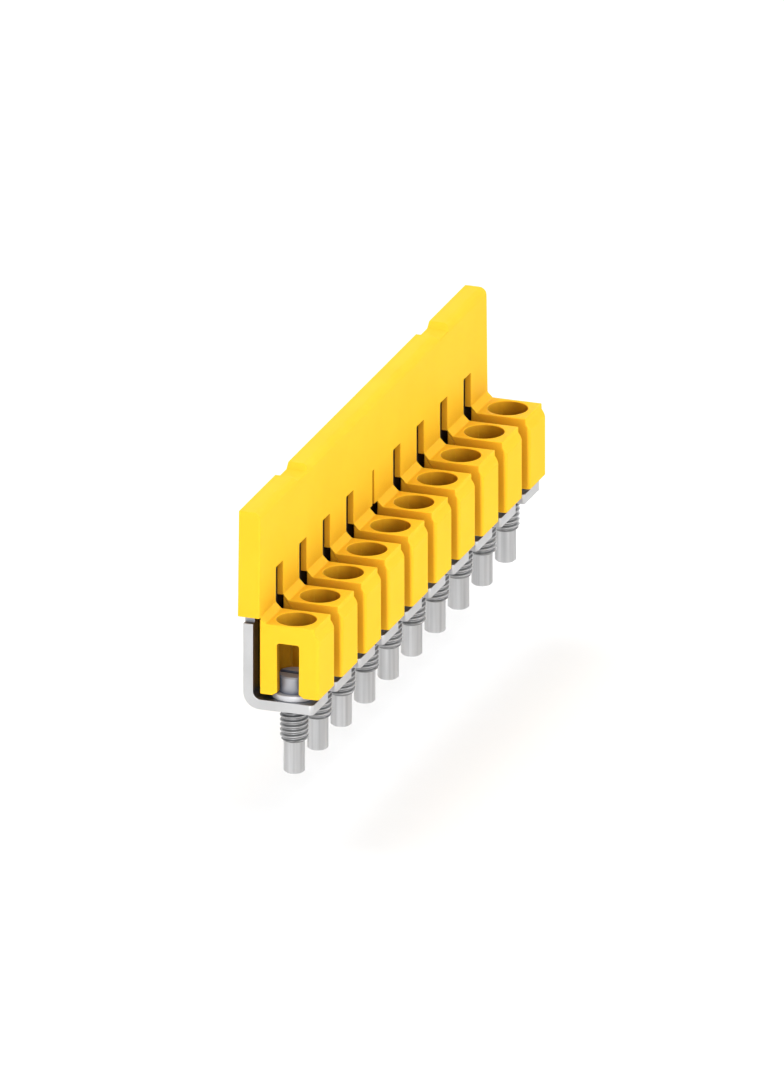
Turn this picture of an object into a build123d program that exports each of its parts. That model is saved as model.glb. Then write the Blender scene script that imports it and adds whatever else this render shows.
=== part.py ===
# Insulated terminal jumper: a ten-pole screw-in cross connector for a row of terminals.
# A yellow moulded housing sits on an L-shaped metal bar, and ten captive screws stand in its turrets.
# X runs along the row, the screws stand at Y = 0, the plate is behind them at +Y,
# and Z = 0 is the underside of the bar, the face that lies on the terminals. All sizes in millimetres.

import os

from build123d import *

# Row of poles
pole_count = 10
pole_pitch = 6.1

# Contact bar, folded from one strip
bar_thickness = 0.9
bar_front = 2.45
bar_corner_radius = 0.4
bend_inner_radius = 0.7
bend_outer_radius = 1.45
leg_face = 3.05
leg_height = 7.78
tongue_height = 11.3
tongue_inset = 0.5
bar_hole_diameter = 2.9

# Captive screw
thread_diameter = 2.5
thread_reach = 2.92
neck_diameter = 1.9
neck_reach = 0.1
thread_run_out = 0.28
dog_diameter = 1.87
dog_length = 2.88
head_diameter = 3.0
head_height = 1.54
head_chamfer = 0.15
driver_slot_width = 0.6
driver_slot_depth = 0.7
first_slot_turn = 86
next_slot_turn = 137.5

# Washer under each head
washer_diameter = 3.88
washer_thickness = 0.55
washer_bore_clearance = 0.2

# Screw turrets of the housing
turret_length = 4.2
turret_back = 2.41
pad_front = 2.98
rim_front = 2.6
rim_height = 0.5
shoulder_height = 0.58
turret_height = 6.5
pad_corner_radius = 0.3
bore_shift = 0.2
head_clearance = 0.25

# Windows in the end walls of each turret
window_shift = 0.14
window_top_width = 2.03
window_bottom_width = 1.95
window_height = 4.82
window_corner_cut = 0.13
window_mouth_width = 0.46
window_mouth_height = 0.32

# Upright plate of the housing
plate_thickness = 1.99
plate_overhang = 0.2
plate_step = 0.44
plate_height = 9.66
plate_draft = 0.28
plate_end_radius = 0.12
plate_top_radius = 0.7
gusset_size = 0.52
web_width = 1.2

# Pocket of the plate that takes the tongue, and the slots in its front wall
pocket_clearance = 0.05
pocket_headroom = 0.3
slit_width = 0.5

# Notches in the top edge of the plate
notch_pitches = 3
notch_floor_width = 2.4
notch_depth = 0.5

# Places worked out from the sizes above
row_length = (pole_count - 1) * pole_pitch + turret_length
poles = [(k - (pole_count - 1) / 2) * pole_pitch for k in range(pole_count)]
gaps = [(a + b) / 2 for a, b in zip(poles, poles[1:])]
turret_gap = pole_pitch - turret_length
leg_back = leg_face + bar_thickness
seat = bar_thickness + washer_thickness
turret_top = seat + turret_height
rim_bottom = turret_top - rim_height
shoulder_bottom = rim_bottom - shoulder_height
bore_radius = head_diameter / 2 + head_clearance
window_top = seat + window_height
plate_bottom = turret_top + plate_step
plate_top = plate_bottom + plate_height
plate_back = turret_back + plate_thickness
pocket_front = leg_face - pocket_clearance
pocket_back = leg_back + pocket_clearance
pocket_top = tongue_height + pocket_headroom


def contact_bar_solid():
    """The folded bar: a horizontal leg with a hole for each screw, and a rear leg with a tongue on top."""
    with BuildPart() as bar:
        # Section of the fold, drawn across the row
        with BuildSketch(Plane.YZ) as section:
            with BuildLine():
                Polyline(
                    (-bar_front, 0),
                    (leg_back, 0),
                    (leg_back, tongue_height),
                    (leg_face, tongue_height),
                    (leg_face, bar_thickness),
                    (-bar_front, bar_thickness),
                    close=True,
                )
            make_face()
            corners = section.vertices()
            fillet(corners.filter_by(lambda v: v.Y == 0).sort_by(Axis.X)[-1], bend_outer_radius)
            inner = section.vertices().filter_by(lambda v: abs(v.X - leg_face) + abs(v.Y - bar_thickness) < 1e-6)
            fillet(inner, bend_inner_radius)
        extrude(amount=row_length / 2, both=True)
        # The tongue stops short of both ends
        with BuildSketch(Plane.XZ.offset(-leg_back)):
            with Locations((-row_length / 2, leg_height), (row_length / 2, leg_height)):
                Rectangle(2 * tongue_inset, 2 * (tongue_height - leg_height), align=(Align.CENTER, Align.MIN))
        extrude(amount=bar_thickness, mode=Mode.SUBTRACT)
        # Holes for the screws
        with Locations(*[(x, 0, bar_thickness) for x in poles]):
            Hole(bar_hole_diameter / 2)
        # Cut corners of the front edge
        upright = bar.edges().filter_by(Axis.Z)
        fillet(upright.group_by(Axis.Y)[0], bar_corner_radius)
    return bar.part


def washer_solid(x):
    """The washer between a screw head and the bar."""
    with BuildPart() as washer:
        with BuildSketch(Plane((x, 0, bar_thickness))):
            Circle(washer_diameter / 2)
            Circle(thread_diameter / 2 + washer_bore_clearance / 2, mode=Mode.SUBTRACT)
        extrude(amount=washer_thickness)
    return washer.part


def screw_solid(x, turn):
    """A captive screw, turned about its own axis: slotted head, neck, thread at its full diameter, dog point."""
    head_radius = head_diameter / 2
    thread_radius = thread_diameter / 2
    neck_radius = neck_diameter / 2
    dog_radius = dog_diameter / 2
    head_top = seat + head_height
    dog_top = -thread_reach - thread_run_out
    dog_tip = dog_top - dog_length
    with BuildPart() as screw:
        with BuildSketch(Plane((x, 0, 0), x_dir=(1, 0, 0), z_dir=(0, -1, 0))):
            with BuildLine():
                Polyline(
                    (0, head_top),
                    (head_radius - head_chamfer, head_top),
                    (head_radius, head_top - head_chamfer),
                    (head_radius, seat),
                    (neck_radius, seat),
                    (neck_radius, -neck_reach),
                    (thread_radius, -neck_reach),
                    (thread_radius, -thread_reach),
                    (dog_radius, dog_top),
                    (dog_radius, dog_tip),
                    (0, dog_tip),
                    close=True,
                )
            make_face()
        revolve(axis=Axis((x, 0, 0), (0, 0, 1)))
        # Driver slot across the head
        with BuildSketch(Plane((x, 0, head_top))):
            Rectangle(2 * head_diameter, driver_slot_width, rotation=turn)
        extrude(amount=-driver_slot_depth, mode=Mode.SUBTRACT)
    return screw.part


def plate_solid():
    """The upright plate: rounded along the top of its front, drafted at both ends, notched in its top edge."""
    half_bottom = row_length / 2 + plate_overhang
    half_top = half_bottom - plate_draft
    notch_place = notch_pitches * pole_pitch
    with BuildPart() as plate:
        # Section across the row
        with BuildSketch(Plane.YZ) as section:
            with Locations((turret_back, plate_bottom)):
                Rectangle(plate_thickness, plate_height, align=Align.MIN)
            top_front = section.vertices().group_by(Axis.Y)[-1].sort_by(Axis.X)[0]
            fillet(top_front, plate_top_radius)
        extrude(amount=half_bottom, both=True)
        # Outline seen from the front, drafted at both ends
        with BuildSketch(Plane.XZ.offset(-plate_back)):
            with BuildLine():
                Polyline(
                    (-half_bottom, plate_bottom),
                    (half_bottom, plate_bottom),
                    (half_top, plate_top),
                    (-half_top, plate_top),
                    close=True,
                )
            make_face()
        extrude(amount=plate_thickness, mode=Mode.INTERSECT)
        # Rounded upright corners at both ends
        rising = plate.edges().filter_by(lambda e: abs(e.tangent_at(0.5).Z) > 0.9)
        fillet(rising, plate_end_radius)
        # Shallow notches with sloping ends in the top edge
        with BuildSketch(Plane.XZ.offset(-plate_back)):
            with Locations((-notch_place, plate_top), (notch_place, plate_top)):
                Trapezoid(notch_floor_width + 4 * notch_depth, 2 * notch_depth, 45, rotation=180)
        extrude(amount=plate_thickness, mode=Mode.SUBTRACT)
    return plate.part


def turret_solid(x):
    """A turret without its bore: the padded front, the sloping shoulder, the rim and the gusset to the plate."""
    with BuildPart() as turret:
        with BuildSketch(Plane((x - turret_length / 2, 0, 0), x_dir=(0, 1, 0), z_dir=(1, 0, 0))):
            with BuildLine():
                Polyline(
                    (-pad_front, seat),
                    (-pad_front, shoulder_bottom),
                    (-rim_front, rim_bottom),
                    (-rim_front, turret_top),
                    (turret_back - gusset_size, turret_top),
                    (turret_back, turret_top + gusset_size),
                    (turret_back, seat),
                    close=True,
                )
            make_face()
        extrude(amount=turret_length)
        pad_corners = turret.edges().filter_by(Axis.Z).group_by(Axis.Y)[0]
        fillet(pad_corners, pad_corner_radius)
        # Web behind the turret that carries the plate, clear of the metal leg
        with BuildSketch(Plane((x, turret_back, seat))):
            Rectangle(web_width, pocket_front - turret_back, align=(Align.CENTER, Align.MIN))
        extrude(amount=plate_bottom - seat)
    return turret.part


def housing_solid():
    """The whole moulding: plate and turrets together, then the pocket, slots, bores and windows cut in it."""
    with BuildPart() as housing:
        add(plate_solid())
        for x in poles:
            add(turret_solid(x))
        # Pocket in the plate's underside for the tongue
        pocket_length = row_length - 2 * tongue_inset + 2 * pocket_clearance
        with BuildSketch(Plane.XY.offset(plate_bottom)):
            with Locations((0, pocket_front)):
                Rectangle(pocket_length, pocket_back - pocket_front, align=(Align.CENTER, Align.MIN))
        extrude(amount=pocket_top - plate_bottom, mode=Mode.SUBTRACT)
        # Slots through the pocket's front wall, over the gaps between turrets
        with BuildSketch(Plane.XZ.offset(-pocket_front)):
            for number, x in enumerate(gaps, start=1):
                width = slit_width if 2 * number == pole_count else turret_gap
                with Locations((x, plate_bottom)):
                    Rectangle(width, pocket_top - plate_bottom, align=(Align.CENTER, Align.MIN))
        extrude(amount=pocket_front - turret_back, mode=Mode.SUBTRACT)
        # Bore of each turret, where the screw head stands
        with Locations(*[(x, -bore_shift, turret_top) for x in poles]):
            Hole(bore_radius, depth=turret_height)
        # Windows through both end walls of every turret, narrower at their open mouth
        half_top = window_top_width / 2
        half_bottom = window_bottom_width / 2
        end_plane = Plane((-row_length / 2, -window_shift, 0), x_dir=(0, 1, 0), z_dir=(1, 0, 0))
        with BuildSketch(end_plane) as window:
            with BuildLine():
                Polyline(
                    (-half_bottom - window_mouth_width, seat),
                    (-half_bottom, seat + window_mouth_height),
                    (-half_top, window_top),
                    (half_top, window_top),
                    (half_bottom, seat + window_mouth_height),
                    (half_bottom + window_mouth_width, seat),
                    close=True,
                )
            make_face()
            chamfer(window.vertices().group_by(Axis.Y)[-1], window_corner_cut)
        extrude(amount=row_length, mode=Mode.SUBTRACT)
    return housing.part


def save(solid, name):
    """Name a finished piece and write its file."""
    solid.label = name
    export_step(solid, f"parts/{name}.step")


os.makedirs("parts", exist_ok=True)
save(contact_bar_solid(), "contact_bar")
save(housing_solid(), "insulating_housing")
for number, x in enumerate(poles, start=1):
    save(washer_solid(x), f"washer_{number:02d}")
    save(screw_solid(x, first_slot_turn + (number - 1) * next_slot_turn), f"screw_{number:02d}")
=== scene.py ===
"""Looks of the insulated terminal jumper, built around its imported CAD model. Sizes are in metres."""

import math

import bmesh
import bpy
from mathutils import Matrix, Vector


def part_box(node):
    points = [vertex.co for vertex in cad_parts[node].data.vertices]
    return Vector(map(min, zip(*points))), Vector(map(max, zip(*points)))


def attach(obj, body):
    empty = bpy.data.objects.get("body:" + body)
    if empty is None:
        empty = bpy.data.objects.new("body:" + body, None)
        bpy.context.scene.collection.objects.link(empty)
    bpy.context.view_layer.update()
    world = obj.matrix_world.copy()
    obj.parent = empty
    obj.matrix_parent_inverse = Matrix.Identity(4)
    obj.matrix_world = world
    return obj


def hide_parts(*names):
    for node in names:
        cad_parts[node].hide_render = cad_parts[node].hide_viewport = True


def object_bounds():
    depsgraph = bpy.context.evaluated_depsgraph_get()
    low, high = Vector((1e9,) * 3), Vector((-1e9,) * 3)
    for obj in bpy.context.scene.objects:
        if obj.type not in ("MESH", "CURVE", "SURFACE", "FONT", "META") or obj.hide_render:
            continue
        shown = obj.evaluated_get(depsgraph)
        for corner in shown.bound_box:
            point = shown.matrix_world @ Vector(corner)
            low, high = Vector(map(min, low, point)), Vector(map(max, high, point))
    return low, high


MM = 0.001

# The photograph's view: a parallel projection at a fixed scale
PHOTO_HEIGHT = 1066
PIXELS_PER_MM = 11.58
VIEW_AZIMUTH = -70.6
VIEW_ELEVATION = 20.6
VIEW_AIM = Vector((0, 0.725, 6.02)) * MM
VIEW_DISTANCE = 0.6

# Lamps: name, azimuth and elevation in degrees, watts
LAMPS = (
    ("key", -78, 8, 1.5),
    ("fill", -5, 8, 0.72),
    ("rim", 95, 0, 1.5),
    ("top", -30, 70, 1.1),
    ("back", 165, 60, 1.4),
)
LAMP_DISTANCE = 0.6
LAMP_SIZE = 0.4

# Ambient light, without lamps
HORIZON_LIGHT = 1.2
ZENITH_LIGHT = 0.36

# Ground
FLOOR_DROP = 6 * MM
FLOOR_SIZE = 4.0

# Row of poles
POLE_COUNT = 10
POLE_PITCH = 6.1 * MM

# Notches in the bar's front edge, one under each gap between turrets
NOTCH_WIDTH = 2.1 * MM
NOTCH_DEPTH = 1.0 * MM
NOTCH_CORNER = 0.25 * MM
NOTCH_CORNER_STEPS = 6
CUTTER_MARGIN = 1 * MM
CUTTER_TOP = 2 * MM

# Screw. Shares are parts of a radius, a depth or a pitch
HEAD_CHAMFER = 0.15 * MM
HEAD_EDGE_ROUND = 0.05 * MM
HEAD_EDGE_STEPS = 3
HEAD_EDGE_SHARE = 0.4
HEAD_RING_SHARE = 0.35
HEAD_FOOT_INSET = 0.05 * MM
HEAD_FOOT_HEIGHT = 0.08 * MM
NECK_RADIUS = 0.95 * MM
THREAD_RADIUS = 1.25 * MM
THREAD_PITCH = 0.45 * MM
THREAD_DEPTH = 0.24 * MM
THREAD_TOP = -0.1 * MM
THREAD_END = -2.92 * MM
TAPER_END = -3.2 * MM
START_SLOPE = 1.2
CREST_SHARE = 0.12
FLANK_SHARE = 0.7
DOG_RADIUS = 0.935 * MM
DOG_CHAMFER = 0.13 * MM
DOG_RING_SHARE = 0.3
SLOT_WIDTH = 0.6 * MM
SLOT_DEPTH = 0.7 * MM
SLOT_HALF_LENGTH = 3 * MM
FIRST_SLOT_TURN = 86
NEXT_SLOT_TURN = 137.5
COLUMNS = 56
ROWS_PER_PITCH = 12
SCREW_SHARP_ANGLE = math.radians(50)

# Rounding of moulded and sheared edges
HOUSING_ROUND = 0.08 * MM
BAR_ROUND = 0.05 * MM
WASHER_ROUND = 0.07 * MM
SHARP_ANGLE = math.radians(35)
FLAT_ANGLE = math.radians(0.6)
WELD_DISTANCE = 1e-6

# Noise values that count as its two ends
NOISE_LOW = 0.3
NOISE_HIGH = 0.7

# How open a spot has to be for the dark painted shade tone alone, and for the outer tone alone
CLOSED = 0.1
OPEN = 0.9
OPENNESS_SAMPLES = 8

# Plastic: its two clouded tones, the painted shade tone in recesses, and for the turrets' inside a painted shade
# tone with its own darker painted shade tone in recesses
YELLOW = ((0.97, 0.545, 0.029), (1.0, 0.57, 0.033))
PAINTED_SHADE_YELLOW = (0.55, 0.235, 0.011)
BORE_SHADE_YELLOW = (0.44, 0.23, 0.011)
PAINTED_SHADE_INSIDE = (0.34, 0.155, 0.008)
PLASTIC_REACH = 6 * MM
PLASTIC_CLOUD = 5 * MM
PLASTIC_ROUGHNESS = (0.38, 0.52)
PLASTIC_GRAIN = 0.09 * MM
PLASTIC_GRAIN_RELIEF = 0.0035 * MM
PLASTIC_WAVE = 1.6 * MM
PLASTIC_WAVE_RELIEF = 0.004 * MM
PLASTIC_GLOSS = 0.01

# Light that soaks into the plastic: its share, its depth, and how far red, green and blue go
SOAK_SHARE = 0.2
SOAK_DEPTH = 0.6 * MM
SOAK_COLOUR = (1.0, 0.4, 0.06)

# Painted shade inside the turrets: a block around each bore, and how this painted shade fades towards the bore's
# mouth at the back
BORE_SHIFT = 0.2 * MM
INSIDE_LENGTH = 4.1 * MM
INSIDE_WIDTH = 3.7 * MM
INSIDE_BOTTOM = 1.5 * MM
INSIDE_TOP = 7.86 * MM
FADE_FRONT = -0.3 * MM
FADE_BACK = 1.2 * MM
FADE_BOTTOM = 5.8 * MM
FADE_TOP = 6.8 * MM
FADED = 0.1

# Metals: two clouded tones of each, and the tones of the screws' zones, where the dog point's tones are painted
# reflection streaks and the thread's and run-out's are painted shade; the dark tones are painted shade in
# recesses
BAR_TONES = ((0.53, 0.53, 0.533), (0.58, 0.58, 0.583))
WASHER_TONES = ((0.54, 0.54, 0.56), (0.60, 0.60, 0.62))
SCREW_TONES = ((0.55, 0.55, 0.555), (0.61, 0.61, 0.615))
DOG_REFLECTION_TONES = ((0.49, 0.49, 0.495), (0.66, 0.66, 0.665))
# Painted shade on the thread, darker on its run-out
THREAD_SHADE_TONE = (0.43, 0.43, 0.43)
RUN_OUT_SHADE_TONE = (0.28, 0.28, 0.28)
HEAD_TONE = (0.39, 0.39, 0.41)
# Painted shade tones in the recesses of the screws, their heads and the bar
PAINTED_SHADE_METAL = (0.12, 0.125, 0.135)
PAINTED_SHADE_HEAD = (0.08, 0.11, 0.18)
PAINTED_SHADE_BAR = (0.08, 0.11, 0.16)
METAL_REACH = 2 * MM
METAL_CLOUD = 2.5 * MM
DULL_METALLIC = 0.4
# Painted reflection streaks along the dog point
REFLECTION_STREAK_WIDTH = 0.35 * MM
REFLECTION_STREAK_STRETCH = (1, 1, 0.02)

# Heights between which the screws' tones change
DOG_FLOOR = -8 * MM
THREAD_FOOT = TAPER_END + 0.02 * MM
RUN_OUT_TOP = THREAD_END - 0.03 * MM
HEAD_FLOOR = 0
HEAD_CEILING = 5 * MM


def feed(tree, socket, value):
    """Give a node's input a number, a tone or another node's output."""
    if isinstance(value, bpy.types.NodeSocket):
        tree.links.new(value, socket)
    elif isinstance(value, tuple):
        socket.default_value = (*value, 1)
    else:
        socket.default_value = value


def node_tree(name):
    """A new material with an empty node tree, its output node and its principled shader."""
    material = bpy.data.materials.new(name)
    material.use_nodes = True
    tree = material.node_tree
    tree.nodes.clear()
    output = tree.nodes.new("ShaderNodeOutputMaterial")
    shader = tree.nodes.new("ShaderNodeBsdfPrincipled")
    tree.links.new(shader.outputs["BSDF"], output.inputs["Surface"])
    return material, tree, shader


def coordinates(tree, stretch=(1, 1, 1)):
    """The object's own coordinates in metres, stretched along its axes."""
    source = tree.nodes.new("ShaderNodeTexCoord")
    mapping = tree.nodes.new("ShaderNodeMapping")
    mapping.inputs["Scale"].default_value = stretch
    tree.links.new(source.outputs["Object"], mapping.inputs["Vector"])
    return mapping.outputs["Vector"]


def split_axes(tree, vector):
    """The X, Y and Z of a vector, by name."""
    node = tree.nodes.new("ShaderNodeSeparateXYZ")
    tree.links.new(vector, node.inputs["Vector"])
    return node.outputs


def noise(tree, vector, size, detail=3.0, roughness=0.5):
    """Noise whose features are about size metres across."""
    node = tree.nodes.new("ShaderNodeTexNoise")
    node.inputs["Scale"].default_value = 1 / size
    node.inputs["Detail"].default_value = detail
    node.inputs["Roughness"].default_value = roughness
    tree.links.new(vector, node.inputs["Vector"])
    return node.outputs["Fac"]


def arithmetic(tree, operation, *values):
    """A sum done on numbers and other nodes' outputs."""
    node = tree.nodes.new("ShaderNodeMath")
    node.operation = operation
    for socket, value in zip(node.inputs, values):
        feed(tree, socket, value)
    return node.outputs["Value"]


def ramp(tree, value, low, high, at_low, at_high):
    """A value that goes evenly from one to another between two limits."""
    node = tree.nodes.new("ShaderNodeMapRange")
    limits = (("From Min", low), ("From Max", high), ("To Min", at_low), ("To Max", at_high))
    for name, limit in limits:
        feed(tree, node.inputs[name], limit)
    tree.links.new(value, node.inputs["Value"])
    return node.outputs["Result"]


def spread(tree, value, low, high):
    """The noise's middle range spread over low to high."""
    return ramp(tree, value, NOISE_LOW, NOISE_HIGH, low, high)


def blend(tree, value, first, second):
    """A colour between two, chosen by value."""
    node = tree.nodes.new("ShaderNodeMix")
    node.data_type = "RGBA"
    feed(tree, node.inputs["Factor"], value)
    feed(tree, node.inputs["A"], first)
    feed(tree, node.inputs["B"], second)
    return node.outputs["Result"]


def clouded(tree, vector, size, detail, tones):
    """A colour that wanders between two tones."""
    return blend(tree, spread(tree, noise(tree, vector, size, detail), 0.0, 1.0), *tones)


def painted_hollow_shade(tree, colour, shade_tone, reach):
    """The colour, going over to a dark painted shade tone in recesses and crevices."""
    # Painted shade: the occlusion node darkens spots with little open space around them
    node = tree.nodes.new("ShaderNodeAmbientOcclusion")
    node.samples = OPENNESS_SAMPLES
    node.inputs["Distance"].default_value = reach
    openness = ramp(tree, node.outputs["AO"], CLOSED, OPEN, 0, 1)
    return blend(tree, openness, shade_tone, colour)


def bump(tree, shader, height, distance, below=None):
    """Surface relief of a real height, laid over any relief below it."""
    node = tree.nodes.new("ShaderNodeBump")
    node.inputs["Distance"].default_value = distance
    node.inputs["Strength"].default_value = 1.0
    tree.links.new(height, node.inputs["Height"])
    if below is not None:
        tree.links.new(below, node.inputs["Normal"])
    tree.links.new(node.outputs["Normal"], shader.inputs["Normal"])
    return node.outputs["Normal"]


def between(tree, value, low, high):
    """One between two limits, nothing elsewhere."""
    return arithmetic(tree, "COMPARE", value, (low + high) / 2, (high - low) / 2)


def between_heights(tree, low, high):
    """One between two heights of the object, nothing elsewhere."""
    return between(tree, split_axes(tree, coordinates(tree))["Z"], low, high)


def painted_bore_shade_mask(tree):
    """How much the turrets' painted shade shows: all in the windows, and in the bores' mouths at their front."""
    place = split_axes(tree, coordinates(tree))
    within_pitch = arithmetic(tree, "WRAP", place["X"], POLE_PITCH, 0)
    along = arithmetic(tree, "SUBTRACT", within_pitch, POLE_PITCH / 2)
    across = arithmetic(tree, "ADD", place["Y"], BORE_SHIFT)
    near_along = between(tree, along, -INSIDE_LENGTH / 2, INSIDE_LENGTH / 2)
    near_across = between(tree, across, -INSIDE_WIDTH / 2, INSIDE_WIDTH / 2)
    near = arithmetic(tree, "MULTIPLY", near_along, near_across)
    block = arithmetic(tree, "MULTIPLY", near, between(tree, place["Z"], INSIDE_BOTTOM, INSIDE_TOP))
    # The painted shade fades from the bore's front towards its back, and stays full below the window top
    front = ramp(tree, place["Y"], FADE_FRONT, FADE_BACK, 1, FADED)
    below = ramp(tree, place["Z"], FADE_BOTTOM, FADE_TOP, 1, 0)
    return arithmetic(tree, "MULTIPLY", block, arithmetic(tree, "MAXIMUM", front, below))


def yellow_plastic():
    """Moulded yellow polyamide: a fine spark-eroded grain, slight clouding, light that soaks in a little, and
    painted shade in recesses and inside the turrets.
    """
    material, tree, shader = node_tree("yellow_insulation")
    place = coordinates(tree)
    # Painted shade: darker in recesses, and darker still inside the turrets' bores and windows
    outside = painted_hollow_shade(tree, clouded(tree, place, PLASTIC_CLOUD, 2.0, YELLOW), PAINTED_SHADE_YELLOW, PLASTIC_REACH)
    inside = painted_hollow_shade(tree, BORE_SHADE_YELLOW, PAINTED_SHADE_INSIDE, PLASTIC_REACH)
    colour = blend(tree, painted_bore_shade_mask(tree), outside, inside)
    tree.links.new(colour, shader.inputs["Base Color"])
    grain = noise(tree, place, PLASTIC_GRAIN, detail=4.0, roughness=0.6)
    tree.links.new(spread(tree, grain, *PLASTIC_ROUGHNESS), shader.inputs["Roughness"])
    waves = bump(tree, shader, noise(tree, place, PLASTIC_WAVE, detail=1.0), PLASTIC_WAVE_RELIEF)
    bump(tree, shader, grain, PLASTIC_GRAIN_RELIEF, waves)
    shader.inputs["Subsurface Weight"].default_value = SOAK_SHARE
    shader.inputs["Subsurface Radius"].default_value = SOAK_COLOUR
    shader.inputs["Subsurface Scale"].default_value = SOAK_DEPTH
    shader.inputs["Specular IOR Level"].default_value = PLASTIC_GLOSS
    return material


def painted_thread_shade(tree, colour):
    """The colour with painted shade: darker on the thread and darker still on its run-out."""
    colour = blend(tree, between_heights(tree, THREAD_FOOT, THREAD_TOP), colour, THREAD_SHADE_TONE)
    return blend(tree, between_heights(tree, THREAD_FOOT, RUN_OUT_TOP), colour, RUN_OUT_SHADE_TONE)


def end_tones(tree, colour):
    """The colour, with painted reflection streaks along the dog point's length, and a head of a darker tone with
    painted shade in its recesses.
    """
    # Painted reflection: light and dark streaks down the dog point
    reflection_streaks = clouded(tree, coordinates(tree, REFLECTION_STREAK_STRETCH), REFLECTION_STREAK_WIDTH, 1.0, DOG_REFLECTION_TONES)
    colour = blend(tree, between_heights(tree, DOG_FLOOR, TAPER_END), colour, reflection_streaks)
    # Painted shade in the head's recesses
    head = painted_hollow_shade(tree, HEAD_TONE, PAINTED_SHADE_HEAD, METAL_REACH)
    return blend(tree, between_heights(tree, HEAD_FLOOR, HEAD_CEILING), colour, head)


def metal(name, tones, roughness, grain_size, stretch, relief, shade_tone=None, shade_zones=None, ends=None):
    """A plated metal: clouded tone, and grain that runs the way the piece was rolled or turned.

    The painted shade tones of zones are laid on before recesses go over to the dark painted shade tone, and the
    tones of ends, with their painted reflection streaks, after.
    """
    material, tree, shader = node_tree(name)
    colour = clouded(tree, coordinates(tree), METAL_CLOUD, 3.0, tones)
    if shade_zones is not None:
        colour = shade_zones(tree, colour)
    if shade_tone is not None:
        colour = painted_hollow_shade(tree, colour, shade_tone, METAL_REACH)
    if ends is not None:
        colour = ends(tree, colour)
    tree.links.new(colour, shader.inputs["Base Color"])
    grain = noise(tree, coordinates(tree, stretch), grain_size, detail=3.0, roughness=0.6)
    tree.links.new(spread(tree, grain, *roughness), shader.inputs["Roughness"])
    bump(tree, shader, grain, relief)
    shader.inputs["Metallic"].default_value = 1.0
    return material, tree, shader


def bar_metal():
    """The bar's satin plating, with grain along the strip."""
    material, _, _ = metal(
        "plated_bar",
        BAR_TONES,
        roughness=(0.4, 0.48),
        grain_size=0.15 * MM,
        stretch=(0.08, 1, 1),
        relief=0.0006 * MM,
        # Painted shade in the bar's recesses
        shade_tone=PAINTED_SHADE_BAR,
    )
    return material


def screw_metal():
    """The screws' plating, with grain around them and duller heads."""
    material, tree, shader = metal(
        "screw_steel",
        SCREW_TONES,
        roughness=(0.34, 0.46),
        grain_size=0.08 * MM,
        stretch=(1, 1, 3),
        relief=0.0008 * MM,
        # Painted shade in recesses and on the thread; painted reflection streaks on the dog point
        shade_tone=PAINTED_SHADE_METAL,
        shade_zones=painted_thread_shade,
        ends=end_tones,
    )
    on_head = between_heights(tree, HEAD_FLOOR, HEAD_CEILING)
    tree.links.new(ramp(tree, on_head, 0, 1, 1.0, DULL_METALLIC), shader.inputs["Metallic"])
    return material


def washer_metal():
    """The washers' dull plating."""
    material, _, shader = metal(
        "washer_steel",
        WASHER_TONES,
        roughness=(0.34, 0.44),
        grain_size=0.1 * MM,
        stretch=(1, 1, 1),
        relief=0.0008 * MM,
    )
    shader.inputs["Metallic"].default_value = DULL_METALLIC
    return material


def floor_material():
    """A matt white floor that keeps the shadow of what stands over it."""
    material, _, shader = node_tree("studio_floor")
    shader.inputs["Base Color"].default_value = (0.92, 0.92, 0.92, 1)
    shader.inputs["Roughness"].default_value = 0.9
    shader.inputs["Specular IOR Level"].default_value = 0.1
    return material


def mesh_from(form, name):
    """A mesh of a finished form, which is then let go."""
    mesh = bpy.data.meshes.new(name)
    form.to_mesh(mesh)
    form.free()
    return mesh


def add_object(name, data):
    """Put a mesh, a lamp or a camera in the scene."""
    obj = bpy.data.objects.new(name, data)
    bpy.context.scene.collection.objects.link(obj)
    return obj


def evaluated_mesh(obj):
    """The mesh that an object shows, with its modifiers worked in."""
    bpy.context.view_layer.update()
    return bpy.data.meshes.new_from_object(obj.evaluated_get(bpy.context.evaluated_depsgraph_get()))


def shade(mesh):
    """Smooth shading, with flats kept flat by normals weighted to the large faces."""
    mesh.shade_smooth()
    holder = add_object("shading", mesh)
    weighted = holder.modifiers.new("weighted", "WEIGHTED_NORMAL")
    weighted.weight = 100
    weighted.keep_sharp = True
    shaded = evaluated_mesh(holder)
    bpy.data.objects.remove(holder)
    return shaded


def add_piece(name, mesh, material, node):
    """Put a finished mesh in the scene, standing for its CAD node."""
    mesh.materials.clear()
    mesh.materials.append(material)
    piece = add_object(name, mesh)
    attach(piece, "root")
    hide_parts(node)


def arc(centre, radius, start, end, steps):
    """Points along a round, given as angles in degrees."""
    points = []
    for i in range(steps + 1):
        angle = math.radians(start + (end - start) * i / steps)
        points.append((centre[0] + radius * math.cos(angle), centre[1] + radius * math.sin(angle)))
    return points


def prisms(outlines, bottom, top):
    """Upright prisms over outlines seen from above, as one mesh."""
    form = bmesh.new()
    for outline in outlines:
        lower = [form.verts.new((x, y, bottom)) for x, y in outline]
        upper = [form.verts.new((x, y, top)) for x, y in outline]
        form.faces.new(lower)
        form.faces.new(upper)
        for i in range(len(outline)):
            j = (i + 1) % len(outline)
            form.faces.new((lower[i], lower[j], upper[j], upper[i]))
    bmesh.ops.recalc_face_normals(form, faces=form.faces)
    return mesh_from(form, "prisms")


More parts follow.
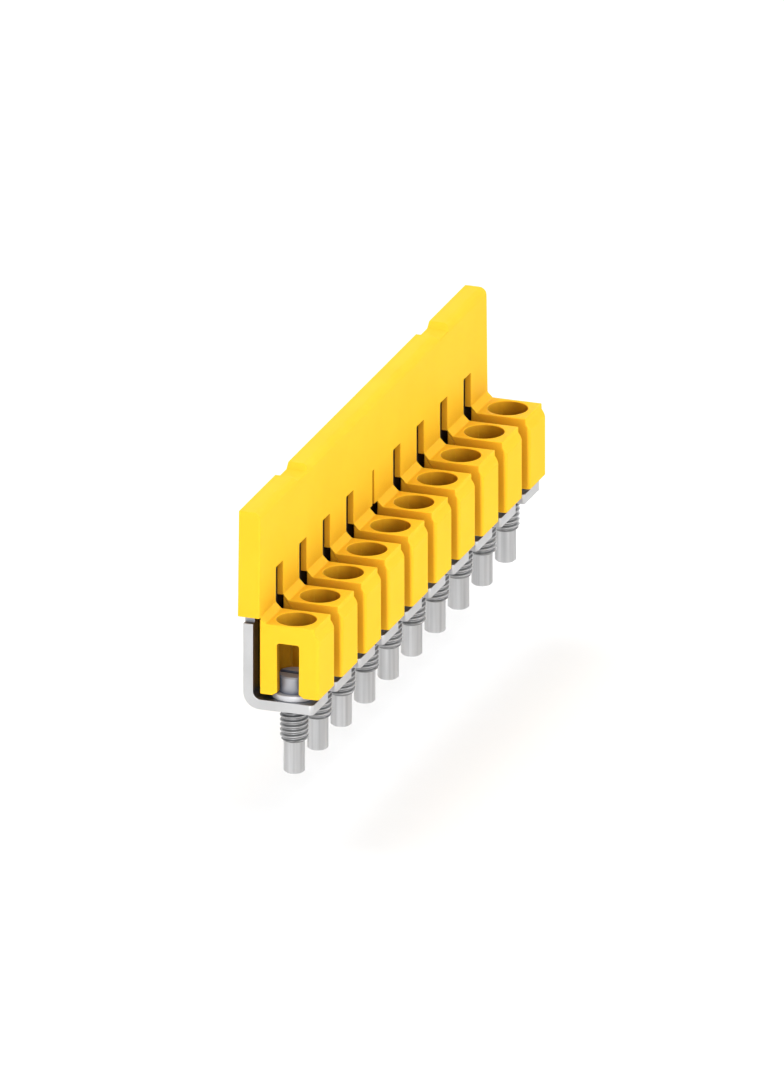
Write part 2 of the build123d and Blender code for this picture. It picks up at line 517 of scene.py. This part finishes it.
def cut_away(mesh, cutter_mesh):
    """The mesh without what the cutter takes from it."""
    cutter = add_object("cutter", cutter_mesh)
    body = add_object("body", mesh)
    cut = body.modifiers.new("cut", "BOOLEAN")
    cut.operation = "DIFFERENCE"
    cut.solver = "EXACT"
    cut.object = cutter
    result = evaluated_mesh(body)
    bpy.data.objects.remove(cutter)
    bpy.data.objects.remove(body)
    return result


def notched_bar():
    """The bar's own mesh with a notch in its front edge under each gap between turrets."""
    low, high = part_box("contact_bar")
    half = NOTCH_WIDTH / 2
    corner = NOTCH_CORNER
    outside_y = low.y - CUTTER_MARGIN
    floor_y = low.y + NOTCH_DEPTH
    outlines = []
    for number in range(1, POLE_COUNT):
        x = (number - POLE_COUNT / 2) * POLE_PITCH
        left = arc((x - half - corner, low.y + corner), corner, -90, 0, NOTCH_CORNER_STEPS)
        right = arc((x + half + corner, low.y + corner), corner, 180, 270, NOTCH_CORNER_STEPS)
        outline = [(x - half - corner, outside_y)] + left + [(x - half, floor_y)]
        outline += [(x + half, floor_y)] + right + [(x + half + corner, outside_y)]
        outlines.append(outline)
    return cut_away(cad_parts["contact_bar"].data.copy(), prisms(outlines, -CUTTER_MARGIN, CUTTER_TOP))


def softened(node, source, radius, material):
    """A CAD node's mesh with its sharp edges rounded, standing for the node."""
    form = bmesh.new()
    form.from_mesh(source)
    bmesh.ops.remove_doubles(form, verts=form.verts, dist=WELD_DISTANCE)
    bmesh.ops.dissolve_limit(form, angle_limit=FLAT_ANGLE, verts=form.verts, edges=form.edges)
    sharp = [e for e in form.edges if e.is_manifold and e.calc_face_angle() > SHARP_ANGLE]
    bmesh.ops.bevel(
        form,
        geom=sharp,
        offset=radius,
        offset_type="OFFSET",
        segments=2,
        profile=0.5,
        affect="EDGES",
        clamp_overlap=False,
        miter_outer="ARC",
    )
    add_piece(node + "_finished", shade(mesh_from(form, node + "_softened")), material, node)


def thread_surface(height, turn):
    """Radius of the thread's surface at a height and a fraction of a turn."""
    phase = (height / THREAD_PITCH - turn) % 1.0
    from_crest = min(phase, 1 - phase) * 2
    depth = min(1.0, max(0.0, (from_crest - CREST_SHARE) / FLANK_SHARE))
    # Eased at crest and root
    depth = depth * depth * (3 - 2 * depth)
    return THREAD_RADIUS - THREAD_DEPTH * depth


def thread_rows():
    """Rings of radius and height down the thread, from its start under the neck to its taper's end."""
    rows = []
    count = round((THREAD_TOP - TAPER_END) / THREAD_PITCH * ROWS_PER_PITCH)
    taper = (THREAD_RADIUS - DOG_RADIUS) / (THREAD_END - TAPER_END)
    for i in range(count + 1):
        z = THREAD_TOP + (TAPER_END - THREAD_TOP) * i / count
        start = NECK_RADIUS + max(0.0, THREAD_TOP - z) * START_SLOPE
        end = DOG_RADIUS + max(0.0, z - TAPER_END) * taper
        limit = min(start, THREAD_RADIUS, end)
        rows.append([(min(limit, thread_surface(z, j / COLUMNS)), z) for j in range(COLUMNS)])
    return rows


def turned(rows):
    """A mesh over rings of radius and height, drawn to a point where the radius is nothing."""
    form = bmesh.new()
    rings = []
    for row in rows:
        if row[0][0] == 0.0:
            rings.append([form.verts.new((0, 0, row[0][1]))])
            continue
        ring = []
        for j, (r, z) in enumerate(row):
            angle = 2 * math.pi * j / COLUMNS
            ring.append(form.verts.new((r * math.cos(angle), r * math.sin(angle), z)))
        rings.append(ring)
    for upper, lower in zip(rings, rings[1:]):
        for j in range(COLUMNS):
            k = (j + 1) % COLUMNS
            corners = [upper[j % len(upper)], lower[j % len(lower)], lower[k % len(lower)], upper[k % len(upper)]]
            form.faces.new(list(dict.fromkeys(corners)))
    bmesh.ops.recalc_face_normals(form, faces=form.faces)
    return mesh_from(form, "turned")


def screw_mesh():
    """A screw on its own axis: rounded slotted head, rolled thread, tapered start and dog point."""
    low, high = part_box("screw_01")
    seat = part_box("washer_01")[1].z
    head = (high.x - low.x) / 2
    corner = HEAD_EDGE_ROUND
    above_chamfer = (head - HEAD_CHAMFER - corner * HEAD_EDGE_SHARE, high.z - corner)
    below_chamfer = (head - corner, high.z - HEAD_CHAMFER - corner * HEAD_EDGE_SHARE)
    upper = [(0.0, high.z), (head * HEAD_RING_SHARE, high.z)]
    upper += arc(above_chamfer, corner, 90, 45, HEAD_EDGE_STEPS)
    upper += arc(below_chamfer, corner, 45, 0, HEAD_EDGE_STEPS)
    upper += [(head, seat + HEAD_FOOT_HEIGHT), (head - HEAD_FOOT_INSET, seat)]
    upper += [(NECK_RADIUS, seat), (NECK_RADIUS, THREAD_TOP)]
    tip = [(DOG_RADIUS, TAPER_END), (DOG_RADIUS, low.z + DOG_CHAMFER)]
    tip += [(DOG_RADIUS - DOG_CHAMFER, low.z), (DOG_RADIUS * DOG_RING_SHARE, low.z), (0.0, low.z)]
    rows = [[point] * COLUMNS for point in upper] + thread_rows() + [[point] * COLUMNS for point in tip]
    x = SLOT_HALF_LENGTH
    y = SLOT_WIDTH / 2
    slot = prisms([[(-x, -y), (x, -y), (x, y), (-x, y)]], high.z - SLOT_DEPTH, high.z + SLOT_DEPTH)
    return cut_away(turned(rows), slot)


def add_screws(material):
    """Ten screws, each standing for its CAD node and turned to its own angle."""
    master = screw_mesh()
    master.shade_smooth()
    master.set_sharp_from_angle(angle=SCREW_SHARP_ANGLE)
    for number in range(1, POLE_COUNT + 1):
        node = f"screw_{number:02d}"
        low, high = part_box(node)
        place = Matrix.Translation(((low.x + high.x) / 2, (low.y + high.y) / 2, 0))
        turn = Matrix.Rotation(math.radians(FIRST_SLOT_TURN + (number - 1) * NEXT_SLOT_TURN), 4, "Z")
        copy = master.copy()
        copy.transform(place @ turn)
        add_piece(node + "_threaded", copy, material, node)


def add_floor():
    """A wide pale floor some way under the screw points."""
    half = FLOOR_SIZE / 2
    z = cad_box[0][2] - FLOOR_DROP
    form = bmesh.new()
    corners = ((-half, -half), (half, -half), (half, half), (-half, half))
    form.faces.new([form.verts.new((x, y, z)) for x, y in corners])
    mesh = mesh_from(form, "floor")
    mesh.materials.append(floor_material())
    add_object("floor", mesh)


def look_at_part(obj, azimuth, elevation, distance):
    """Stand an object off the part at these angles in degrees, turned towards the point of view's aim."""
    a = math.radians(azimuth)
    e = math.radians(elevation)
    away = Vector((math.sin(a) * math.cos(e), -math.cos(a) * math.cos(e), math.sin(e)))
    obj.location = VIEW_AIM + away * distance
    obj.rotation_euler = away.to_track_quat("Z", "Y").to_euler()


def add_lamps():
    """Square soft lamps that look at the object."""
    for name, azimuth, elevation, power in LAMPS:
        data = bpy.data.lights.new(name, "AREA")
        data.shape = "SQUARE"
        data.size = LAMP_SIZE
        data.energy = power
        look_at_part(add_object(name, data), azimuth, elevation, LAMP_DISTANCE)


def add_world():
    """White to the camera and in reflections; as ambient light, dimmer overhead than at the horizon."""
    world = bpy.data.worlds.new("studio")
    bpy.context.scene.world = world
    world.use_nodes = True
    tree = world.node_tree
    tree.nodes.clear()
    path = tree.nodes.new("ShaderNodeLightPath").outputs
    seen = arithmetic(tree, "MAXIMUM", path["Is Camera Ray"], path["Is Glossy Ray"])
    seen_through = arithmetic(tree, "MAXIMUM", seen, path["Is Transmission Ray"])
    sky = split_axes(tree, tree.nodes.new("ShaderNodeTexCoord").outputs["Generated"])
    ambient = ramp(tree, sky["Z"], 0, 1, HORIZON_LIGHT, ZENITH_LIGHT)
    background = tree.nodes.new("ShaderNodeBackground")
    background.inputs["Color"].default_value = (1, 1, 1, 1)
    tree.links.new(ramp(tree, seen_through, 0, 1, ambient, 1.0), background.inputs["Strength"])
    output = tree.nodes.new("ShaderNodeOutputWorld")
    tree.links.new(background.outputs["Background"], output.inputs["Surface"])


def add_camera():
    """The photograph's view."""
    data = bpy.data.cameras.new("camera")
    data.type = "ORTHO"
    data.ortho_scale = PHOTO_HEIGHT / PIXELS_PER_MM * MM
    camera = add_object("camera", data)
    look_at_part(camera, VIEW_AZIMUTH, VIEW_ELEVATION, VIEW_DISTANCE)
    bpy.context.scene.camera = camera


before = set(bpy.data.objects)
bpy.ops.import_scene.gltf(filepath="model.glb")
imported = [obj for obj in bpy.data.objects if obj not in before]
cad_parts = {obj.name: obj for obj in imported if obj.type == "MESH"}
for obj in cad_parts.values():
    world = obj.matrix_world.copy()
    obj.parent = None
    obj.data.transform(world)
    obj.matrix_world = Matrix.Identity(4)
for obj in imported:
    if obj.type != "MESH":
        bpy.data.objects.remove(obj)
cad_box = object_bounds()
bpy.context.scene.view_settings.view_transform = "Standard"

housing_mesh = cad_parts["insulating_housing"].data
softened("insulating_housing", housing_mesh, HOUSING_ROUND, yellow_plastic())
softened("contact_bar", notched_bar(), BAR_ROUND, bar_metal())
washer_steel = washer_metal()
for number in range(1, POLE_COUNT + 1):
    washer = f"washer_{number:02d}"
    softened(washer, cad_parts[washer].data, WASHER_ROUND, washer_steel)
add_screws(screw_metal())
add_floor()
add_world()
add_lamps()
add_camera()
